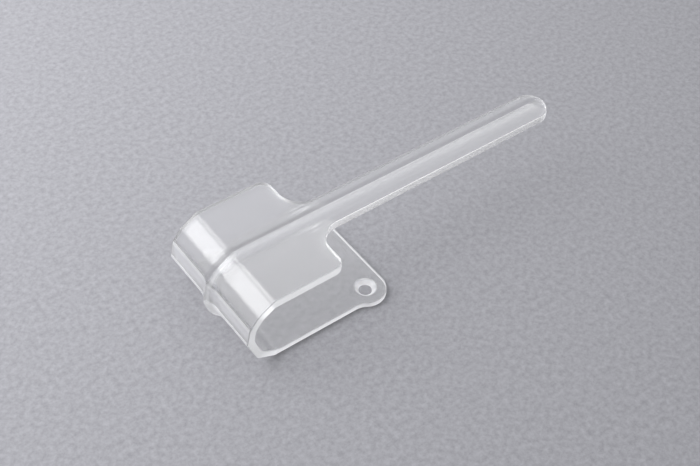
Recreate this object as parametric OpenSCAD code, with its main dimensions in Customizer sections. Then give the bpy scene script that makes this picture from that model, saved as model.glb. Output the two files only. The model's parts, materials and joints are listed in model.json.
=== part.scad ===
// Clear moulded clip bracket: a screw-on base plate, a five-facet nose that turns back over it,
// a top plate and a long ridged arm. It is one moulding, drawn here as its named regions.
// The origin is on the base's underside, midway between the two screw holes. +X runs towards
// the arm's tip, +Y across the part, and +Z up from the surface that the base is screwed to.

/* [Body] */
// Width across the nose, the base plate and the top plate
body_w = 44; // [40:1:46]
// Height of the top plate's upper face above the base's underside
body_h = 26; // [25:0.5:34]
// Distance from the screw holes forward to the bend where the base turns up
front_reach = 38.8; // [34:0.2:60]

/* [Walls] */
// Thickness of the base plate
base_t = 2.0; // [1.8:0.1:3]
// Thickness of the nose facets
nose_t = 2.5; // [1.6:0.1:3]
// Thickness of the top plate and of the arm's sides
top_t = 3.0; // [2:0.1:3.6]

/* [Mounting ears] */
// Distance between the two screw holes
hole_spacing = 34.4; // [32:0.2:36]
// Diameter of the through hole
hole_d = 4.2; // [4:0.1:4.6]
// Diameter of the countersink's mouth
countersink_d = 7.7; // [6:0.1:7.7]
// Radius of each ear about its hole
ear_r = 6.9; // [6:0.1:7.4]
// Radius of the hollow corner between an ear and the base's straight side
ear_fillet_r = 6; // [3:0.5:8]

/* [Top plate] */
// Distance from the screw holes forward to the top plate's back edge
plate_setback = 12.5; // [8:0.5:20]
// Radius of the top plate's back corners
plate_corner_r = 3.8; // [2:0.1:6]
// Radius of the hollow corners between the top plate and the arm
root_fillet_r = 7.7; // [4:0.1:9]

/* [Arm] */
// Width of the arm
arm_w = 12.4; // [12.2:0.2:14]
// Distance from the screw holes back to the arm's tip
arm_reach = 88.9; // [50:0.1:120]

/* [Ridge] */
// Height of the ridge above the top plate
ridge_h = 1.8; // [1:0.1:2]
// Width of the ridge at its foot
ridge_w = 9.4; // [7:0.2:10]

/* [Shoulder ribs] */
// Length of the short ribs that run from the top plate on to the arm's root
rib_len = 12; // [6:0.5:14]
// Width of each rib
rib_w = 1.2; // [0.8:0.1:1.2]
// Height of each rib above the top plate
rib_h = 0.4; // [0.2:0.1:0.8]

/* [Hidden] */

$fn = 96;
cut = 0.01;
clear_plastic = [0.86, 0.87, 0.89, 0.45];

// Outer corners of the nose in X and Z, from the top plate round to the base
nose = [
    [-front_reach + 0.2, body_h],
    [-front_reach - 5.8, body_h - 3.9],
    [-front_reach - 8.9, body_h - 8.1],
    [-front_reach - 9.9, body_h - 14.4],
    [-front_reach - 6.4, 3.2],
    [-front_reach, 0]
];
corners = len(nose);

// Thickness of each stretch between corners: the top plate, the five facets, then the base plate
stretch_t = [top_t, nose_t, nose_t, nose_t, nose_t, nose_t, base_t];

// Share of the ridge's height at each corner: it is full over the facets and ends at the base
ridge_share = [1, 1, 1, 0.95, 1, 0];

// Half of the ridge's section from its crest to its foot, as shares of its half width and height,
// and a skirt that shows only where the ridge is taller than on the plate
flank = [[0, 1], [0.1, 0.88], [0.28, 0.6], [0.55, 0.24], [1, 0]];
skirt = [1.32, -0.6];

// The outline with one more point at each end, so that every corner joins two stretches
path = concat([[arm_reach, body_h]], nose, [[ear_r, 0]]);

function unit(v) = v / norm(v);

// Unit vector that points out of stretch i of the outline
function outward(i) = let (d = unit(path[i + 1] - path[i])) [d[1], -d[0]];

// The point that lies a inside stretch i and b inside stretch i + 1, at corner i of the nose
function inset(i, a, b) =
    let (m = outward(i), n = outward(i + 1), det = m[0] * n[1] - m[1] * n[0])
    nose[i] - [a * n[1] - b * m[1], b * m[0] - a * n[0]] / det;

inner = [for (i = [0:corners - 1]) inset(i, stretch_t[i], stretch_t[i + 1])];

// The ridge's crest, from the plate's back edge round to the base, and how far its cuts reach in
crest = concat(
    [[-plate_setback, body_h + ridge_h]],
    [for (i = [0:corners - 1]) let (h = ridge_h * ridge_share[i]) inset(i, -h, -h)]
);
cut_reach = 4;

overlap = 1;
ear_blend = 0.3;
plate_front = max(nose[0][0], inner[0][0]) + overlap;
plate_back = -plate_setback;
root_end = plate_back + root_fillet_r;
tip_centre = arm_reach - arm_w / 2;
ear_y = hole_spacing / 2;
ear_inner_y = ear_y - ear_r - ear_blend;
fillet_y = -body_w / 2 - ear_fillet_r;
fillet_x = -sqrt(pow(ear_r + ear_fillet_r, 2) - pow(fillet_y + ear_y, 2));
ear_front = fillet_x - 2 * overlap;
countersink_depth = (countersink_d - hole_d) / 2;
rib_front = root_end - rib_len;

// Unit vector that points out of the ridge's crest between its points i and i + 1
function crest_out(i) = let (d = unit(crest[i + 1] - crest[i])) [d[1], -d[0]];

// The line that two stretches of the ridge meet on, at point i of the crest
function mitre(i) = i < corners ? unit(crest_out(i - 1) + crest_out(i)) : [0, -1];

// The ridge's section from one foot over the crest to the other, in mm, with the foot at height 0
function section(half) = concat(
    [for (k = [len(half) - 1:-1:1]) [-half[k][0] * ridge_w / 2, half[k][1] * ridge_h]],
    [for (f = half) [f[0] * ridge_w / 2, f[1] * ridge_h]]
);

// Extrudes an outline drawn in X and Z across the width of the body
module across(w) {
    translate([0, w / 2, 0])
        rotate([90, 0, 0])
            linear_extrude(height = w)
                children();
}

// Extrudes an outline drawn in Y and Z along X, from x0 to x1
module along(x0, x1) {
    translate([x0, 0, 0])
        rotate([90, 0, 90])
            linear_extrude(height = x1 - x0)
                children();
}

// Facet i of the nose, between corner i and corner i + 1
module facet(i) {
    across(body_w)
        polygon([nose[i], nose[i + 1], inner[i + 1], inner[i]]);
}

module base_plate() {
    color(clear_plastic)
        union() {
            across(body_w)
                polygon([nose[corners - 1], [ear_front, 0], [ear_front, base_t], inner[corners - 1]]);
            translate([ear_front, -ear_inner_y, 0])
                cube([ear_r - ear_front, 2 * ear_inner_y, base_t]);
        }
}

// The right ear's outline: the base's back corner, swollen round its screw hole
module ear_outline() {
    fillet_share = ear_fillet_r / (ear_fillet_r + ear_r);
    tangent = [fillet_x * (1 - fillet_share), fillet_y - (ear_y + fillet_y) * fillet_share];
    translate([0, -ear_y])
        circle(r = ear_r);
    translate([ear_front, -body_w / 2])
        square([-ear_front, body_w / 2 - ear_inner_y]);
    translate([0, -ear_y])
        square([ear_r, ear_y - ear_inner_y]);
    difference() {
        polygon([[fillet_x, -body_w / 2 + cut], [fillet_x, fillet_y], tangent, [0, -body_w / 2 + cut]]);
        translate([fillet_x, fillet_y])
            circle(r = ear_fillet_r);
    }
}

module ear() {
    difference() {
        linear_extrude(height = base_t)
            ear_outline();
        translate([0, -ear_y, -cut])
            cylinder(h = base_t + 2 * cut, d = hole_d);
        translate([0, -ear_y, base_t - countersink_depth])
            cylinder(h = countersink_depth + cut, d1 = hole_d, d2 = countersink_d + 2 * cut);
    }
}

module right_ear() {
    color(clear_plastic)
        ear();
}

module left_ear() {
    color(clear_plastic)
        mirror([0, 1, 0])
            ear();
}

module top_bend() {
    color(clear_plastic)
        facet(0);
}

module upper_wall() {
    color(clear_plastic)
        facet(1);
}

module front_wall() {
    color(clear_plastic)
        facet(2);
}

module lower_wall() {
    color(clear_plastic)
        facet(3);
}

module base_bend() {
    color(clear_plastic)
        facet(4);
}

// The ridge's section with its skirts and its crest at the origin, drawn down to a flat cut
module ridge_outline() {
    half_w = skirt[0] * ridge_w / 2;
    translate([0, -ridge_h])
        polygon(concat(section(concat(flank, [skirt])), [[half_w, -cut_reach], [-half_w, -cut_reach]]));
}

// The ridge between points i and i + 1 of its crest, with a mitre at both ends
module ridge_stretch(i) {
    run = crest[i + 1] - crest[i];
    intersection() {
        translate([crest[i][0], 0, crest[i][1]])
            rotate([0, atan2(-run[1], run[0]), 0])
                rotate([180, 0, 0])
                    along(-cut_reach, norm(run) + cut_reach)
                        ridge_outline();
        across(body_w)
            polygon([
                crest[i],
                crest[i + 1],
                crest[i + 1] - cut_reach * mitre(i + 1),
                crest[i] - cut_reach * mitre(i)
            ]);
    }
}

// The ridge over the five facets, which swells at the lower wall and runs out at the base
module nose_ridge() {
    color(clear_plastic)
        difference() {
            union() {
                for (i = [1:corners - 1])
                    ridge_stretch(i);
            }
            across(body_w)
                polygon(concat(nose, [[plate_front, 0], [plate_front, body_h]]));
        }
}

// The top plate's outline, with its round back corners
module plate_outline() {
    inner_y = body_w / 2 - plate_corner_r;
    translate([plate_front, -body_w / 2])
        square([plate_back - plate_corner_r - plate_front, body_w]);
    translate([plate_back - plate_corner_r, -inner_y])
        square([plate_corner_r, 2 * inner_y]);
    for (side = [-1, 1])
        translate([plate_back - plate_corner_r, side * inner_y])
            circle(r = plate_corner_r);
}

module top_plate() {
    color(clear_plastic)
        union() {
            translate([0, 0, body_h - top_t])
                linear_extrude(height = top_t)
                    plate_outline();
            across(body_w)
                polygon([nose[0], inner[0], [plate_front, body_h - top_t], [plate_front, body_h]]);
        }
}

// The ridge's section, standing on the top plate or the arm
module ridge_section() {
    translate([0, body_h])
        polygon(section(flank));
}

module plate_ridge() {
    color(clear_plastic)
        intersection() {
            along(crest[1][0], plate_back)
                ridge_section();
            across(body_w)
                polygon([crest[1], nose[0], [plate_back, body_h], crest[0]]);
        }
}

// A short low rib beside the ridge, on the +Y side
module shoulder_rib() {
    foot = ridge_w / 2;
    slope = 0.3 * rib_w;
    along(rib_front, root_end)
        translate([foot, body_h])
            polygon([[0, 0], [rib_w, 0], [rib_w - slope, rib_h], [slope, rib_h]]);
}

module left_shoulder_rib() {
    color(clear_plastic)
        shoulder_rib();
}

module right_shoulder_rib() {
    color(clear_plastic)
        mirror([0, 1, 0])
            shoulder_rib();
}

// The web that spreads from the arm to the top plate's back edge, with its share of the ridge
module arm_root() {
    color(clear_plastic)
        union() {
            translate([0, 0, body_h - top_t])
                linear_extrude(height = top_t)
                    difference() {
                        translate([plate_back, -arm_w / 2 - root_fillet_r])
                            square([root_fillet_r, arm_w + 2 * root_fillet_r]);
                        for (side = [-1, 1])
                            translate([root_end, side * (arm_w / 2 + root_fillet_r)])
                                circle(r = root_fillet_r);
                    }
            along(plate_back, root_end)
                ridge_section();
        }
}

// The arm's section: a flat strip with the ridge along its middle
module arm_section() {
    half_w = arm_w / 2;
    strip = [[half_w, 0], [half_w, -top_t], [-half_w, -top_t], [-half_w, 0]];
    translate([0, body_h])
        polygon(concat(section(flank), strip));
}

module arm() {
    color(clear_plastic)
        along(root_end, tip_centre)
            arm_section();
}

module arm_tip() {
    color(clear_plastic)
        intersection() {
            along(tip_centre, arm_reach)
                arm_section();
            translate([tip_centre, 0, body_h - top_t])
                cylinder(h = top_t + ridge_h, d = arm_w);
        }
}

base_plate();
left_ear();
right_ear();
base_bend();
lower_wall();
front_wall();
upper_wall();
top_bend();
nose_ridge();
top_plate();
plate_ridge();
left_shoulder_rib();
right_shoulder_rib();
arm_root();
arm();
arm_tip();
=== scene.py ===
"""A clear moulded clip bracket on a speckled grey sheet, under soft studio light.

The moulding is one closed mesh. It is drawn flat first, as a pattern of S by Y: S runs from the arm's tip
along the outer face, over the plate, down the nose's facets and back along the base, and Y runs across.
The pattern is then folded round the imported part's corners, once for the outer face with its ridge and once
for the inner face, and a rounded rim joins the two. Lengths are in mm until the mesh is made.
"""

import json
import math

import bmesh
import bpy
import numpy as np
from mathutils import Matrix, Vector
from mathutils.geometry import delaunay_2d_cdt


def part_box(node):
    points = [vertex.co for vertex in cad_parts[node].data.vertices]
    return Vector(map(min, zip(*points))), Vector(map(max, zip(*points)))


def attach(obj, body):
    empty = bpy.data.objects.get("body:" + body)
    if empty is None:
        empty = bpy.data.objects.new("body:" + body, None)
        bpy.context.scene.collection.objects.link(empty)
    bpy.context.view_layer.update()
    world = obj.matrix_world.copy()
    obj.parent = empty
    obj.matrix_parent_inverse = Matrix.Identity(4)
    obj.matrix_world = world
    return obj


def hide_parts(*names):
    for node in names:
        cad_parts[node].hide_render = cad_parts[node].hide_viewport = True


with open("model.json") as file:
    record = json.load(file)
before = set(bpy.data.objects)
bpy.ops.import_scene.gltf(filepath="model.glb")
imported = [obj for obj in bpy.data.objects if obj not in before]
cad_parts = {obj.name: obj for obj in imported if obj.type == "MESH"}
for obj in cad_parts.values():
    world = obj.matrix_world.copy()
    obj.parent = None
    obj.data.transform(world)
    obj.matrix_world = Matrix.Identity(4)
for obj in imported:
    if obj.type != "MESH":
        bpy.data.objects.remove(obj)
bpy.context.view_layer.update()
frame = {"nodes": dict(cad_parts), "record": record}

MM = 0.001

# ---------------------------------------------------------------- sizes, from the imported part


def low(node):
    """A node's lowest X, Y and Z."""
    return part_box(node)[0] / MM


def high(node):
    """A node's highest X, Y and Z."""
    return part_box(node)[1] / MM


def mount_size(name, dimension):
    mount = next(m for m in frame["record"]["mounts"] if m["name"] == name)
    return mount["dims"][dimension]


TIP_X = high("arm_tip").x
ARM_HALF = high("arm_tip").y
TOP_Z = high("top_plate").z
TOP_T = TOP_Z - low("top_plate").z
HALF_W = high("top_plate").y
PLATE_BACK = high("top_plate").x
ROOT_BACK = high("arm_root").x
ROOT_R = ROOT_BACK - low("arm_root").x
BASE_FRONT_X = low("base_plate").x
BASE_T = high("base_plate").z
EAR_R = high("left_ear").x
EAR_Y = high("left_ear").y - EAR_R
HOLE_R = mount_size("screw_holes", "hole_r_mm")
RIDGE_H = high("plate_ridge").z - TOP_Z
RIDGE_HALF = high("plate_ridge").y
RIB_LOW, RIB_HIGH = low("left_shoulder_rib"), high("left_shoulder_rib")

# The part's other measures, which no box gives
NOSE_T = 2.5
PLATE_CORNER_R = 3.8
EAR_FILLET_R = 6.0
SINK_R = 3.85

# How far the edges are rounded, on the faces that look up and on those that look down, and the thin border
# that keeps the flats flat beside them
EDGE_R = 0.35
LOWER_EDGE_R = 0.12
BORDER = 0.12

# The ridge: its end slopes down over this length at the arm's tip, its flanks are curved, and its foot goes
# on below the face so that its height reaches nothing there
RIDGE_END = 3.6
FLANK_POWER = 1.85
FOOT_FALL = 0.36

# The ribs beside it: their share of their solids' height, the length they taper over at both ends, and how
# much sooner they end towards the arm's tip
RIB_SHARE = 0.19
RIB_TAPER = 2.5
RIB_SHORTER = 2.0

# The profile's outer corners, with one more point on the plate and one on the base
TIP, PLATE, BEND_TOP, UPPER_TOP, FRONT_TOP, LOWER_TOP, FOOT_TOP, BASE_FRONT, BASE, BASE_BACK = range(10)
STRAIGHT = 5.0
CORNERS = np.array(
    [
        (TIP_X, TOP_Z),
        (high("top_bend").x + STRAIGHT, TOP_Z),
        (high("top_bend").x, TOP_Z),
        (low("top_bend").x, high("upper_wall").z),
        (low("upper_wall").x, high("front_wall").z),
        (low("front_wall").x, high("lower_wall").z),
        (low("base_bend").x, low("lower_wall").z),
        (BASE_FRONT_X, 0.0),
        (BASE_FRONT_X + STRAIGHT, 0.0),
        (EAR_R, 0.0),
    ]
)

# The wall's thickness from each corner to the next
THICKNESS = [TOP_T, TOP_T] + [NOSE_T] * 5 + [BASE_T, BASE_T]

# At each corner: the ridge's share of its full height, and how far the corner is rounded to both sides on the
# outer face and on the inner face
RIDGE_SHARE = np.array([1, 1, 1, 1, 1, 0.85, 0.7, 0, 0, 0])
OUTER_ROUND = [0, 0, 0.5, 0.5, 0.5, 0.5, 0.5, 0.5, 0, 0]
INNER_ROUND = [0, 0, 0.6, 0.7, 1.4, 2.4, 2.6, 2.0, 0, 0]

# The ridge swells over the lower wall, by this share halfway down
SWELL_SHARE = 0.35

STEPS = CORNERS[1:] - CORNERS[:-1]
LENGTHS = np.hypot(STEPS[:, 0], STEPS[:, 1])
STATIONS = np.concatenate([[0], np.cumsum(LENGTHS)])
OUTWARD = np.stack([STEPS[:, 1], -STEPS[:, 0]], 1) / LENGTHS[:, None]
NEARLY_NONE = 1e-6


def shifted_corner(i, before, after):
    """Corner i moved out by before from the stretch that ends there and by after from the next one."""
    m, n = OUTWARD[max(i - 1, 0)], OUTWARD[min(i, len(OUTWARD) - 1)]
    det = m[0] * n[1] - m[1] * n[0]
    if abs(det) < NEARLY_NONE:
        return CORNERS[i] + before * m
    return CORNERS[i] + np.array([before * n[1] - after * m[1], after * m[0] - before * n[0]]) / det


def inner_corner(i):
    return shifted_corner(i, -THICKNESS[max(i - 1, 0)], -THICKNESS[min(i, len(THICKNESS) - 1)])


MITRES = np.array([shifted_corner(i, 1, 1) - CORNERS[i] for i in range(len(CORNERS))])
INNER = np.array([inner_corner(i) for i in range(len(CORNERS))])


def stretch_of(s):
    """The stretch that each S lies on, and how far along it, from 0 to 1."""
    i = np.clip(np.searchsorted(STATIONS, s, side="right") - 1, 0, len(LENGTHS) - 1)
    return i, (s - STATIONS[i]) / LENGTHS[i]


def plate_s(x):
    """S at X on the arm and the top plate."""
    return TIP_X - x


def base_s(x):
    """S at X on the base."""
    return STATIONS[BASE_BACK] - (EAR_R - x)


# ---------------------------------------------------------------- the two faces


def eased(t):
    return t * t * (3 - 2 * t)


def flank_depth(y):
    """How far the ridge's flank lies below its crest, at Y = y."""
    u = np.clip(np.abs(y) / RIDGE_HALF, 0, 1)
    beyond = np.clip(np.abs(y) - RIDGE_HALF, 0, None)
    return RIDGE_H * (1 - (1 - u) ** FLANK_POWER) + FOOT_FALL * beyond**2


def rib_height(s, y):
    """The two short ribs beside the ridge, where the arm leaves the plate."""
    x = TIP_X - s
    half = (RIB_HIGH.y - RIB_LOW.y) / 2
    across = np.clip(1 - np.abs(np.abs(y) - (RIB_LOW.y + half)) / half, 0, 1)
    from_front = np.clip((x - RIB_LOW.x) / RIB_TAPER, 0, 1)
    from_back = np.clip((RIB_HIGH.x - RIB_SHORTER - x) / RIB_TAPER, 0, 1)
    return RIB_SHARE * (RIB_HIGH.z - RIB_LOW.z) * eased(across) * eased(from_front * from_back)


def raised(s, y):
    """The ridge's height at S, Y. It slopes down to nothing at the arm's round tip."""
    i, v = stretch_of(s)
    share = RIDGE_SHARE[i] * (1 - v) + RIDGE_SHARE[i + 1] * v
    share = share + np.where(i == LOWER_TOP, SWELL_SHARE * np.sin(np.pi * v), 0)
    from_tip = ARM_HALF - np.hypot(np.minimum(s - ARM_HALF, 0), y)
    end = np.clip(from_tip / RIDGE_END, 0, 1)
    end = np.where(s < ARM_HALF, end * (2 - end), 1)
    return np.maximum(0, share * RIDGE_H - flank_depth(y)) * end


def sharp_outer(s, y):
    i, v = stretch_of(s)
    h = raised(s, y)[:, None]
    v = v[:, None]
    return (CORNERS[i] + MITRES[i] * h) * (1 - v) + (CORNERS[i + 1] + MITRES[i + 1] * h) * v


def sharp_inner(s, y):
    i, v = stretch_of(s)
    v = v[:, None]
    return INNER[i] * (1 - v) + INNER[i + 1] * v


def rounded(face, windows, s, y):
    """The points of a face in X and Z, with each corner rounded over its window to both sides."""
    out = face(s, y)
    for station, w in zip(STATIONS, windows):
        near = np.abs(s - station) < w
        if not near.any():
            continue
        yn = y[near]
        t = ((s[near] - station + w) / (2 * w))[:, None]
        a, b, c = (face(np.full(len(yn), station + side * w), yn) for side in (-1, 0, 1))
        out[near] = a * (1 - t) ** 2 + 2 * b * t * (1 - t) + c * t**2
    return out


def on_outer(pattern_points):
    s, y = pattern_points.T
    xz = rounded(sharp_outer, OUTER_ROUND, s, y)
    return np.stack([xz[:, 0], y, xz[:, 1] + rib_height(s, y)], 1)


def on_inner(pattern_points):
    s, y = pattern_points.T
    xz = rounded(sharp_inner, INNER_ROUND, s, y)
    return np.stack([xz[:, 0], y, xz[:, 1]], 1)


# ---------------------------------------------------------------- the pattern's rows, columns and outline

# Rows across the pattern, as from S, to S and step: close together at the tip, the ribs and the ears
TIP_ROWS_END = 8.0
RIBS_BACK, RIBS_FRONT = -3.0, -19.0
EARS_FRONT = -9.0
ROW_STRETCHES = [
    (0.9, TIP_ROWS_END, 0.7),
    (TIP_ROWS_END, plate_s(RIBS_BACK + 1), 4.0),
    (plate_s(RIBS_BACK), plate_s(RIBS_FRONT), 0.5),
    (plate_s(RIBS_FRONT), STATIONS[PLATE], 2.0),
    (STATIONS[BASE_FRONT] + 2.4, base_s(EARS_FRONT), 3.0),
    (base_s(EARS_FRONT), STATIONS[BASE_BACK] - 0.8, 1.2),
]

# Rows in a rounded corner and, with its ends, in a facet; how far beyond a round the next row lies; and the
# least gap between rows
ROWS_IN_ROUND, ROWS_IN_FACET = 9, 6
BESIDE_OUTER, BESIDE_INNER = 0.1, 0.15
LEAST_GAP = 0.03

# Columns along it, to both sides of the crest: the ridge and the arm, then the plates
RIDGE_COLUMNS = [0, 0.1, 0.22, 0.4, 0.65, 0.95, 1.3, 1.7, 2.1, 2.6, 3.1, 3.6, 4.1, 4.6, 4.8, 5.0, 5.2, 5.4]
PLATE_COLUMNS = [5.6, 5.9, 6.2, 6.8, 7.6, 9, 11, 13, 15, 17, 19, 20.6]
COLUMNS = sorted({side * c for c in RIDGE_COLUMNS + PLATE_COLUMNS for side in (-1, 1)})


def corner_rows(c):
    """Rows through both of corner c's rounded stretches and just beyond them."""
    outer, inner = OUTER_ROUND[c], INNER_ROUND[c]
    shares = np.linspace(-1, 1, ROWS_IN_ROUND)
    rows = list(outer * shares) + list(inner * shares)
    rows += [side * (outer + BESIDE_OUTER) for side in (-1, 1)]
    rows += [side * (inner + BESIDE_INNER) for side in (-1, 1)]
    return [STATIONS[c] + r for r in rows]


def all_rows():
    rows = []
    for start, stop, step in ROW_STRETCHES:
        rows += list(np.arange(start, stop, step))
    for c in range(BEND_TOP, BASE):
        rows += corner_rows(c)
        rows += list(np.linspace(STATIONS[c - 1], STATIONS[c], ROWS_IN_FACET)[1:-1])
    kept = []
    for row in sorted(rows):
        if not kept or row - kept[-1] > LEAST_GAP:
            kept.append(row)
    return kept


ROWS = all_rows()

# The outline's arcs: degrees from point to point, and the least gap between an arc and the row before it
ARC_STEP = 6.0
ARC_GAP = 0.2
PLATE_EDGE_POINTS, BASE_EDGE_POINTS = 5, 9


def arc(cx, cy, r, start, stop):
    """Points of an arc in the pattern, angles in degrees, without its last point."""
    n = max(2, int(abs(stop - start) / ARC_STEP))
    angles = np.radians(np.linspace(start, stop, n, endpoint=False))
    return [(cx + r * math.cos(a), cy + r * math.sin(a)) for a in angles]


def half_outline():
    """The +Y half of the outline, from the tip at Y = 0 to the middle of the base's back edge."""
    points = [(ARM_HALF - math.sqrt(ARM_HALF**2 - c * c), c) for c in RIDGE_COLUMNS]
    last = math.degrees(math.asin(points[-1][1] / ARM_HALF))
    points += arc(ARM_HALF, 0, ARM_HALF, 180 - last, 90)[1:]
    root_s = plate_s(ROOT_BACK)
    points += [(s, ARM_HALF) for s in ROWS if ARM_HALF < s < root_s - ARC_GAP]
    points += arc(root_s, ARM_HALF + ROOT_R, ROOT_R, -90, 0)
    back_s = plate_s(PLATE_BACK)
    plate_edge = np.linspace(ARM_HALF + ROOT_R, HALF_W - PLATE_CORNER_R, PLATE_EDGE_POINTS)
    points += [(back_s, y) for y in plate_edge[:-1]]
    points += arc(back_s + PLATE_CORNER_R, HALF_W - PLATE_CORNER_R, PLATE_CORNER_R, 180, 90)
    fillet_y = HALF_W + EAR_FILLET_R
    fillet_x = -math.sqrt((EAR_R + EAR_FILLET_R) ** 2 - (fillet_y - EAR_Y) ** 2)
    turn = math.degrees(math.atan2(fillet_y - EAR_Y, -fillet_x))
    fillet_s = base_s(fillet_x)
    points += [(s, HALF_W) for s in ROWS if back_s + PLATE_CORNER_R < s < fillet_s - ARC_GAP]
    points += arc(fillet_s, fillet_y, EAR_FILLET_R, -90, -turn)
    points += arc(base_s(0), EAR_Y, EAR_R, 180 - turn, 0)
    points += [(STATIONS[BASE_BACK], y) for y in np.linspace(EAR_Y, 0, BASE_EDGE_POINTS)]
    return points


def closed_outline():
    upper = half_outline()
    lower = [(s, -y) for s, y in upper[1:-1]]
    return np.array(upper + lower[::-1])


def inward_normals(loop):
    """Unit normals that point into a loop which runs with its inside on the right."""
    a, b = loop - np.roll(loop, 1, 0), np.roll(loop, -1, 0) - loop
    a /= np.linalg.norm(a, axis=1)[:, None]
    b /= np.linalg.norm(b, axis=1)[:, None]
    along_loop = a + b
    along_loop /= np.linalg.norm(along_loop, axis=1)[:, None]
    return np.stack([along_loop[:, 1], -along_loop[:, 0]], 1)


OUTLINE = closed_outline()
NORMALS = inward_normals(OUTLINE)
FACE_LOOP = OUTLINE + NORMALS * (EDGE_R + BORDER)
LOOP_SIZE = len(FACE_LOOP)

HOLE_SIDES = 64
HOLE_BORDER = 0.3
FACE_HOLE_R = SINK_R + HOLE_BORDER
HOLE_CENTRES = [np.array([base_s(0), side * EAR_Y]) for side in (-1, 1)]
HOLE_ANGLES = np.linspace(0, 2 * math.pi, HOLE_SIDES, endpoint=False)
CIRCLE = np.stack([np.cos(HOLE_ANGLES), np.sin(HOLE_ANGLES)], 1)

# ---------------------------------------------------------------- the pattern's triangles

# The least gap between the lattice and the pattern's edge, and the distance at which points are merged
LATTICE_GAP = 0.16
MERGED_BELOW = 1e-7


def inside(points, loop):
    x, y = points[:, 0][:, None], points[:, 1][:, None]
    x0, y0 = loop[:, 0][None], loop[:, 1][None]
    x1, y1 = np.roll(loop[:, 0], -1)[None], np.roll(loop[:, 1], -1)[None]
    crosses = (y0 > y) != (y1 > y)
    at = x0 + (y - y0) / np.where(y1 == y0, 1, y1 - y0) * (x1 - x0)
    return (np.sum(crosses & (x < at), 1) % 2) == 1


def distance(points, loop):
    nearest = np.full(len(points), np.inf)
    for a, b in zip(loop, np.roll(loop, -1, 0)):
        d = b - a
        t = np.clip(((points - a) @ d) / (d @ d), 0, 1)
        nearest = np.minimum(nearest, np.linalg.norm(points - a - t[:, None] * d, axis=1))
    return nearest


def clear_of_holes(points, radius):
    return np.all([np.linalg.norm(points - centre, axis=1) > radius for centre in HOLE_CENTRES], axis=0)


def lattice_points():
    """The crossings of rows and columns that lie well inside the pattern."""
    lattice = np.array([(s, y) for s in ROWS for y in COLUMNS])
    lattice = lattice[inside(lattice, FACE_LOOP)]
    lattice = lattice[distance(lattice, FACE_LOOP) > LATTICE_GAP]
    return lattice[clear_of_holes(lattice, FACE_HOLE_R + HOLE_BORDER)]


def ring_edges(first, size):
    return [(first + k, first + (k + 1) % size) for k in range(size)]


def column_edges(points, first):
    """Edges along the ridge's columns, among the points from first on."""
    edges = []
    for y in COLUMNS:
        if abs(y) > RIDGE_COLUMNS[-1]:
            continue
        on_line = [k for k in range(first, len(points)) if abs(points[k][1] - y) < NEARLY_NONE]
        on_line.sort(key=lambda k: points[k][0])
        edges += list(zip(on_line[:-1], on_line[1:]))
    return edges


def triangulated(points, edges):
    """Triangles of the pattern, all turned the same way, as rows of three point numbers."""
    cut = delaunay_2d_cdt([Vector(p) for p in points], edges, [], 0, MERGED_BELOW)
    source = [o[0] if o else None for o in cut[3]]
    if None in source or len(cut[0]) != len(points):
        raise ValueError(f"the pattern's {len(points)} points became {len(cut[0])}")
    triangles = np.array([[source[v] for v in f] for f in cut[2]])
    middles = points[triangles].mean(1)
    flat_of_ring = FACE_HOLE_R * math.cos(math.pi / HOLE_SIDES)
    triangles = triangles[inside(middles, FACE_LOOP) & clear_of_holes(middles, flat_of_ring)]
    a, b, c = (points[triangles[:, k]] for k in range(3))
    area = (b - a)[:, 0] * (c - a)[:, 1] - (b - a)[:, 1] * (c - a)[:, 0]
    triangles[area < 0] = triangles[area < 0][:, ::-1]
    return triangles


pattern = np.concatenate([FACE_LOOP] + [c + FACE_HOLE_R * CIRCLE for c in HOLE_CENTRES] + [lattice_points()])
hole_starts = [LOOP_SIZE + h * HOLE_SIDES for h in range(len(HOLE_CENTRES))]
pattern_edges = ring_edges(0, LOOP_SIZE)
for hole_start in hole_starts:
    pattern_edges += ring_edges(hole_start, HOLE_SIDES)
pattern_edges += column_edges(pattern, hole_starts[-1] + HOLE_SIDES)
triangles = triangulated(pattern, pattern_edges)

# ---------------------------------------------------------------- folding and joining

# How milky the faces are: little on the flats, more on the nose's lower facets, and a painted highlight along
# the crest
FLAT_HAZE = 0.02
CREASE_HAZE = 0.42
FRONT_HAZE = 0.31
LOWER_HAZE = 1.0
BEND_HAZE = 0.35
# The crest's painted highlight on the arm and on the nose: a milky line standing in for the ridge's
# reflection
CREST_PAINTED_HIGHLIGHT = 0.14
NOSE_CREST_PAINTED_HIGHLIGHT = 0.3
CREST_LINE_Y, CREST_LINE_SPREAD = -0.8, 0.6

# The facets' haze thins out by this share beside the crest, within about this distance
CLEARED_SHARE, CLEARED_HALF = 0.5, 3.5

# Painted light laid on as haze: a glow spreading into the faces from the edges that look along X, standing in
# for light carried through the sheet to them, and a painted reflection round the arm's tip
PAINTED_BACK_GLOW, BACK_REACH = 0.18, 1.2
TIP_PAINTED_REFLECTION, TIP_REACH = 0.4, 0.7

# How milky the matt rim is, and the share that is left on its upper and lower sides. The milkiness is partly
# the edges' matt finish and partly painted light carried through the sheet, with a painted reflection at the
# tip
TIP_RIM_AND_PAINTED_REFLECTION = 1.0
ARM_RIM = 0.1
PLATE_BACK_RIM = 0.42
PLATE_RIM = 0.56
NOSE_RIM = 0.54
BASE_RIM = 1.0
FADED_ABOVE, FADED_BELOW = 0.3, 0.5

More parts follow.
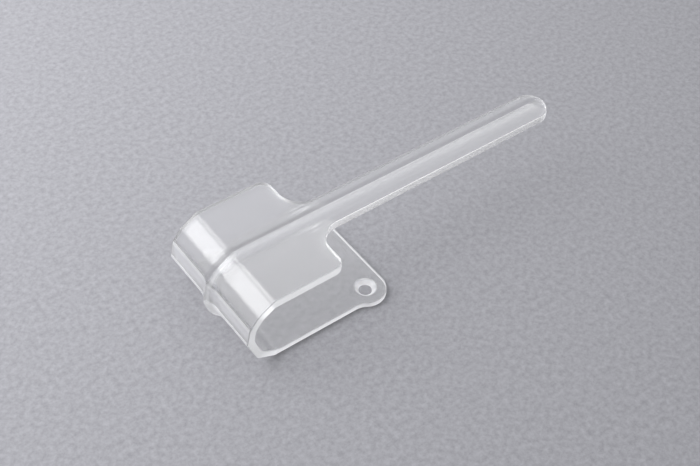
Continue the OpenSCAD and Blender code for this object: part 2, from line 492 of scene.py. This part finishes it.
# From the base's underside in to the hole, up its wall and out over the countersink: radius, height, haze
SINK_Z = BASE_T - (SINK_R - HOLE_R)
HOLE_PROFILE = [
    (SINK_R, 0, FLAT_HAZE),
    (HOLE_R + 0.3, 0, FLAT_HAZE),
    (HOLE_R + 0.15, 0, FLAT_HAZE),
    (HOLE_R + 0.03, 0.05, 0.1),
    (HOLE_R, 0.15, 0.1),
    (HOLE_R, SINK_Z - 0.02, 0.15),
    (HOLE_R + 0.06, SINK_Z + 0.08, 0.5),
    (HOLE_R + 0.6, SINK_Z + 0.62, 0.65),
    (SINK_R - 0.5, BASE_T - 0.52, 0.5),
    (SINK_R - 0.12, BASE_T - 0.14, 0.25),
    (SINK_R, BASE_T - 0.04, 0.1),
    (SINK_R + 0.1, BASE_T, FLAT_HAZE),
    (SINK_R + 0.2, BASE_T, FLAT_HAZE),
]

# 0 where the outer face looks up, on the arm and plate, to 1 where it looks down, under the base
TURNED = np.clip((OUTLINE[:, 0] - STATIONS[UPPER_TOP]) / (STATIONS[FOOT_TOP] - STATIONS[UPPER_TOP]), 0, 1)

ROUND_STEPS = 5
TURNS = [math.radians(90 * k / ROUND_STEPS) for k in range(ROUND_STEPS + 1)]
RIM_PROFILE = [(turn, False) for turn in TURNS] + [(turn, True) for turn in reversed(TURNS)]

count = len(pattern)
points = [on_outer(pattern), on_inner(pattern)]
faces = [tuple(t) for t in triangles] + [tuple(t[::-1] + count) for t in triangles]


def add_points(new):
    """Add points to the mesh and return their numbers."""
    first = sum(len(p) for p in points)
    points.append(new)
    return list(range(first, first + len(new)))


def join(loops):
    """Quads between each loop of point numbers and the next."""
    for loop, next_loop in zip(loops[:-1], loops[1:]):
        for k in range(len(loop)):
            j = (k + 1) % len(loop)
            faces.append((loop[k], loop[j], next_loop[j], next_loop[k]))


def rim_points(turn, from_inner):
    """The rim's points at an angle round its outer or inner edge."""
    lower = 1 - TURNED if from_inner else TURNED
    radius = EDGE_R + (LOWER_EDGE_R - EDGE_R) * lower
    inset, depth = radius * (1 - math.sin(turn)), radius * (1 - math.cos(turn))
    at = OUTLINE + NORMALS * inset[:, None]
    outer, inner = on_outer(at), on_inner(at)
    through = inner - outer
    share = depth / np.linalg.norm(through, axis=1)
    if from_inner:
        share = 1 - share
    return outer + through * share[:, None]


def hole_points(centre, radius, z):
    x = EAR_R - (STATIONS[BASE_BACK] - centre[0])
    ring = radius * CIRCLE + np.array([x, centre[1]])
    return np.column_stack([ring, np.full(HOLE_SIDES, float(z))])


rim_loops = [add_points(rim_points(turn, from_inner)) for turn, from_inner in RIM_PROFILE]
join([list(range(LOOP_SIZE))] + rim_loops + [list(range(count, count + LOOP_SIZE))])
for centre, start in zip(HOLE_CENTRES, hole_starts):
    hole_loops = [add_points(hole_points(centre, radius, z)) for radius, z, _ in HOLE_PROFILE]
    outer_ring = list(range(start, start + HOLE_SIDES))
    join([outer_ring] + hole_loops + [[k + count for k in outer_ring]])

# ---------------------------------------------------------------- how milky each point is


def along(s, stops):
    """Values at S, drawn straight from each (S, value) stop to the next."""
    return np.interp(s, [at for at, _ in stops], [value for _, value in stops])


def facet_haze(s, y):
    """The nose's facets, less milky beside the crest."""
    haze_and_painted_light = along(
        s,
        [
            (STATIONS[FRONT_TOP] - 0.9, FLAT_HAZE),
            (STATIONS[FRONT_TOP] - 0.25, CREASE_HAZE),
            (STATIONS[FRONT_TOP] + 0.25, CREASE_HAZE),
            (STATIONS[FRONT_TOP] + 1.3, FRONT_HAZE),
            (STATIONS[LOWER_TOP] - 1.2, FRONT_HAZE),
            (STATIONS[LOWER_TOP], LOWER_HAZE),
            (STATIONS[FOOT_TOP] - 0.6, LOWER_HAZE),
            (STATIONS[FOOT_TOP] + 0.6, BEND_HAZE),
            (STATIONS[BASE_FRONT] - 1, BEND_HAZE),
            (STATIONS[BASE_FRONT] + 2, FLAT_HAZE),
        ],
    )
    return haze_and_painted_light * (1 - CLEARED_SHARE * np.exp(-((y / CLEARED_HALF) ** 2)))


def painted_crest_highlight(s, y):
    """A painted highlight: a soft milky line along the crest, a little to its -Y side, where the ridge's
    reflection shows.
    """
    strength = along(
        s,
        [
            (ARM_HALF, CREST_PAINTED_HIGHLIGHT),
            (STATIONS[BEND_TOP] - 1, CREST_PAINTED_HIGHLIGHT),
            (STATIONS[BEND_TOP], NOSE_CREST_PAINTED_HIGHLIGHT),
            (STATIONS[LOWER_TOP], NOSE_CREST_PAINTED_HIGHLIGHT),
            (STATIONS[LOWER_TOP] + 2, 0),
        ],
    )
    return strength * np.exp(-((y - CREST_LINE_Y) ** 2) / CREST_LINE_SPREAD)


def rim_haze_and_painted_light():
    """One array for each loop of the rim: the matt edge's milkiness together with painted light.

    It fades towards the sides that look up or down, but not under the base.
    """
    back_s = plate_s(PLATE_BACK)
    strength = along(
        OUTLINE[:, 0],
        [
            (STATIONS[TIP], TIP_RIM_AND_PAINTED_REFLECTION),
            (0.5 * ARM_HALF, 0.8 * TIP_RIM_AND_PAINTED_REFLECTION),
            (ARM_HALF, ARM_RIM),
            (plate_s(ROOT_BACK), ARM_RIM),
            (back_s, PLATE_BACK_RIM),
            (back_s + PLATE_CORNER_R, PLATE_RIM),
            (STATIONS[UPPER_TOP], NOSE_RIM),
            (STATIONS[FOOT_TOP], NOSE_RIM),
            (STATIONS[BASE_FRONT], BASE_RIM),
        ],
    )
    last = len(RIM_PROFILE) - 1
    loops = []
    for k in range(len(RIM_PROFILE)):
        from_above = k * (1 - TURNED) + (last - k) * TURNED
        fading = np.interp(from_above, [0, ROUND_STEPS, last], [FADED_ABOVE, 1, FADED_BELOW])
        loops.append(strength * (fading + (1 - fading) * TURNED * (from_above > ROUND_STEPS)))
    return loops


def all_haze_and_painted_light():
    s, y = pattern.T
    nearest = np.array([np.argmin(np.linalg.norm(OUTLINE - p, axis=1)) for p in pattern])
    to_edge = np.linalg.norm(OUTLINE[nearest] - pattern, axis=1)
    # Painted glow beside the edges that look along X, and a painted reflection round the arm's tip
    glow = PAINTED_BACK_GLOW * np.exp(-to_edge / BACK_REACH) * NORMALS[nearest, 0] ** 2
    tip = TIP_PAINTED_REFLECTION * np.exp(-to_edge / TIP_REACH) * np.clip(1 - s / ARM_HALF, 0, 1)
    outer = facet_haze(s, y) + painted_crest_highlight(s, y) + glow + tip
    hole = np.repeat([haze_and_painted_light for _, _, haze_and_painted_light in HOLE_PROFILE], HOLE_SIDES)
    return np.concatenate([outer, FLAT_HAZE + glow] + rim_haze_and_painted_light() + [hole] * len(HOLE_CENTRES))


haze_and_painted_light = all_haze_and_painted_light()
rim = np.zeros(len(haze_and_painted_light))
rim[2 * count : 2 * count + LOOP_SIZE * len(RIM_PROFILE)] = 1

# ---------------------------------------------------------------- the mesh

mesh = bpy.data.meshes.new("moulding")
mesh.from_pydata((np.concatenate(points) * MM).tolist(), [], [tuple(int(v) for v in f) for f in faces])
bm = bmesh.new()
bm.from_mesh(mesh)
bmesh.ops.recalc_face_normals(bm, faces=bm.faces)
open_edges = sum(len(e.link_faces) != 2 for e in bm.edges)
if open_edges:
    raise ValueError(f"{open_edges} edges of the moulding don't join two faces")
for face in bm.faces:
    face.smooth = True
bm.to_mesh(mesh)
bm.free()
# The haze attribute carries the real milkiness together with the painted highlight, glow and reflections
for name, values in (("haze_and_painted_light", haze_and_painted_light), ("edge", rim)):
    layer = mesh.attributes.new(name, "FLOAT", "POINT")
    layer.data.foreach_set("value", values.astype(np.float32))
moulding = bpy.data.objects.new("moulding", mesh)
bpy.context.scene.collection.objects.link(moulding)

# ---------------------------------------------------------------- materials


def new_material(name):
    material = bpy.data.materials.new(name)
    material.use_nodes = True
    tree = material.node_tree
    tree.nodes.clear()
    return material, tree


def add_node(tree, kind, inputs):
    """A new node. An input that is given a socket is linked to it, and any other is set."""
    node = tree.nodes.new(kind)
    for name, value in inputs.items():
        if isinstance(value, bpy.types.NodeSocket):
            tree.links.new(value, node.inputs[name])
        else:
            node.inputs[name].default_value = value
    return node


def noise(tree, scale, detail, roughness=0.5):
    coords = add_node(tree, "ShaderNodeTexCoord", {})
    inputs = {"Vector": coords.outputs["Object"], "Scale": scale, "Detail": detail, "Roughness": roughness}
    return add_node(tree, "ShaderNodeTexNoise", inputs).outputs["Fac"]


def bumps(tree, height, strength, depth):
    inputs = {"Height": height, "Strength": strength, "Distance": depth}
    return add_node(tree, "ShaderNodeBump", inputs).outputs["Normal"]


def remap(tree, value, at_zero, at_one):
    inputs = {"Value": value, "To Min": at_zero, "To Max": at_one}
    return add_node(tree, "ShaderNodeMapRange", inputs).outputs["Result"]


def attribute(tree, name):
    node = add_node(tree, "ShaderNodeAttribute", {})
    node.attribute_name = name
    return node.outputs["Fac"]


def maths(tree, operation, a, b):
    node = add_node(tree, "ShaderNodeMath", {0: a, 1: b})
    node.operation = operation
    return node.outputs[0]


def mixed(tree, share, first, second):
    return add_node(tree, "ShaderNodeMixShader", {0: share, 1: first, 2: second}).outputs[0]


def finished(tree, surface):
    add_node(tree, "ShaderNodeOutputMaterial", {"Surface": surface})


# The haze is faintly blue, and its normal leans this much from straight up towards the surface's own
HAZE_TINT = {"Red": 0.965, "Green": 0.97, "Blue": 1.0}
LEAN = 0.4


def scatter(tree, kind, strength, sky):
    """Light scattered as if the surface faced the sky, or with sky = -1 the ground."""
    tint = {channel: maths(tree, "MULTIPLY", strength, share) for channel, share in HAZE_TINT.items()}
    colour = add_node(tree, "ShaderNodeCombineColor", tint).outputs[0]
    normal = add_node(tree, "ShaderNodeNewGeometry", {}).outputs["Normal"]
    lean = add_node(tree, "ShaderNodeVectorMath", {0: normal, 1: (LEAN, LEAN, LEAN), 2: (0, 0, sky)})
    lean.operation = "MULTIPLY_ADD"
    unit = add_node(tree, "ShaderNodeVectorMath", {0: lean.outputs[0]})
    unit.operation = "NORMALIZE"
    return add_node(tree, kind, {"Color": colour, "Normal": unit.outputs[0]}).outputs[0]


def clear_plastic():
    material, tree = new_material("clear_plastic")
    glass = add_node(
        tree,
        "ShaderNodeBsdfPrincipled",
        {
            "Base Color": (0.985, 0.988, 0.992, 1),
            "IOR": 1.49,
            "Transmission Weight": 1.0,
            "Roughness": remap(tree, noise(tree, 90, 3), 0.19, 0.25),
            "Normal": bumps(tree, noise(tree, 120, 2), 0.015, 0.0003),
        },
    ).outputs[0]

    # Light scatters back from the outside of a face, and through it. A matt edge mostly lets it through.
    # The amount is the real milkiness together with the painted highlight, glow and reflections
    amount, edge = attribute(tree, "haze_and_painted_light"), attribute(tree, "edge")
    from_inside = add_node(tree, "ShaderNodeNewGeometry", {}).outputs["Backfacing"]
    edge_from_outside = maths(tree, "MULTIPLY", edge, remap(tree, from_inside, 1.0, 0.0))
    edge_from_inside = maths(tree, "MULTIPLY", edge, from_inside)
    back = scatter(tree, "ShaderNodeBsdfDiffuse", remap(tree, edge_from_outside, 0.86, 0.15), 1)
    through = scatter(tree, "ShaderNodeBsdfTranslucent", remap(tree, edge_from_inside, 0.94, 0.3), -1)
    haze_both_ways = add_node(tree, "ShaderNodeAddShader", {0: back, 1: through}).outputs[0]

    # From the inside only the edges look milky. The haze is slightly cloudy.
    unseen = maths(tree, "SUBTRACT", from_inside, edge_from_inside)
    seen = maths(tree, "MULTIPLY", amount, remap(tree, unseen, 1.0, 0.0))
    cloudy = maths(tree, "MULTIPLY", seen, remap(tree, noise(tree, 60, 2), 0.8, 1.2))
    milky_and_painted_light = mixed(tree, cloudy, glass, haze_both_ways)

    # Shadow rays and the floor's own rays pass straight through, dimmed most by the matt edges
    light_path = add_node(tree, "ShaderNodeLightPath", {})
    blocked = remap(tree, maths(tree, "MULTIPLY", amount, edge), 0.9, 0.35)
    passing = add_node(tree, "ShaderNodeBsdfTransparent", {"Color": blocked}).outputs[0]
    rays = [light_path.outputs[name] for name in ("Is Shadow Ray", "Is Diffuse Ray")]
    finished(tree, mixed(tree, maths(tree, "MAXIMUM", *rays), milky_and_painted_light, passing))
    return material


def speckled_sheet():
    material, tree = new_material("speckled_sheet")
    speckles = add_node(tree, "ShaderNodeValToRGB", {"Fac": noise(tree, 520, 3, 0.75)})
    stops = ((0.3, (0.300, 0.300, 0.327, 1)), (0.7, (0.422, 0.422, 0.459, 1)))
    for element, (position, colour) in zip(speckles.color_ramp.elements, stops):
        element.position = position
        element.color = colour
    surface = add_node(
        tree,
        "ShaderNodeBsdfPrincipled",
        {
            "Base Color": speckles.outputs["Color"],
            "Roughness": 0.85,
            "Normal": bumps(tree, noise(tree, 1800, 3, 0.6), 0.1, 0.0001),
        },
    )
    finished(tree, surface.outputs[0])
    return material


moulding.data.materials.append(clear_plastic())
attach(moulding, "root")
for name in frame["nodes"]:
    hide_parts(name)

# ---------------------------------------------------------------- the sheet, in metres

SHEET_HALF = 2.0
SHEET_Z = -0.00002
SIDES = ((-1, -1), (1, -1), (1, 1), (-1, 1))

sheet_mesh = bpy.data.meshes.new("sheet")
sheet_mesh.from_pydata([(x * SHEET_HALF, y * SHEET_HALF, SHEET_Z) for x, y in SIDES], [], [(0, 1, 2, 3)])
sheet = bpy.data.objects.new("sheet", sheet_mesh)
bpy.context.scene.collection.objects.link(sheet)
sheet.data.materials.append(speckled_sheet())

# ---------------------------------------------------------------- lights

TARGET = Vector((11.16, 5.89, 0)) * MM

# Name, direction from the target, distance, width and height in metres, brightness
LIGHTS = [
    ("key", (-0.54, 0.51, 0.67), 0.64, 0.53, 0.53, 5.0),
    ("back", (0.41, 0.59, 0.70), 0.6, 0.6, 0.55, 1.08),
    ("overhead", (0.43, -0.42, 0.80), 1.2, 0.5, 0.5, 1.2),
    ("side", (-0.83, 0.52, 0.12), 1.0, 0.6, 0.35, 0.7),
]


def area_light(name, direction, distance_m, width, height, brightness):
    data = bpy.data.lights.new(name, "AREA")
    data.shape = "RECTANGLE"
    data.size = width
    data.size_y = height
    data.energy = brightness * math.pi * width * height
    light = bpy.data.objects.new(name, data)
    away = Vector(direction).normalized()
    light.location = TARGET + away * distance_m
    light.rotation_euler = away.to_track_quat("Z", "Y").to_euler()
    bpy.context.scene.collection.objects.link(light)


for light_values in LIGHTS:
    area_light(*light_values)

world = bpy.data.worlds.new("studio")
bpy.context.scene.world = world
world.use_nodes = True
background = world.node_tree.nodes["Background"]
background.inputs["Color"].default_value = (0.8, 0.8, 0.8, 1)
background.inputs["Strength"].default_value = 0.375
bpy.context.scene.view_settings.view_transform = "Standard"

# ---------------------------------------------------------------- camera

# Where the camera stands, seen from the target: angles in degrees, distance in mm
AZIMUTH, ELEVATION, ROLL = 50.223, 47.380, 3.989
DISTANCE = 413.87

# The sensor's width and the focal length in mm, and the nearest distance in view, in metres
SENSOR = 36.0
FOCAL_LENGTH = 62.845714
NEAREST = 0.01

az, el, roll = (math.radians(angle) for angle in (AZIMUTH, ELEVATION, ROLL))
towards = Vector((-math.cos(el) * math.cos(az), -math.cos(el) * math.sin(az), math.sin(el)))
right = Vector((0, 0, 1)).cross(towards).normalized()
up = towards.cross(right)
camera_x = right * math.cos(roll) + up * math.sin(roll)
camera_y = up * math.cos(roll) - right * math.sin(roll)
facing = Matrix((camera_x, camera_y, towards)).transposed().to_4x4()

camera_data = bpy.data.cameras.new("camera")
camera_data.sensor_width = SENSOR
camera_data.lens = FOCAL_LENGTH
camera_data.clip_start = NEAREST
camera = bpy.data.objects.new("camera", camera_data)
camera.matrix_world = Matrix.Translation(TARGET + towards * DISTANCE * MM) @ facing
bpy.context.scene.collection.objects.link(camera)
bpy.context.scene.camera = camera
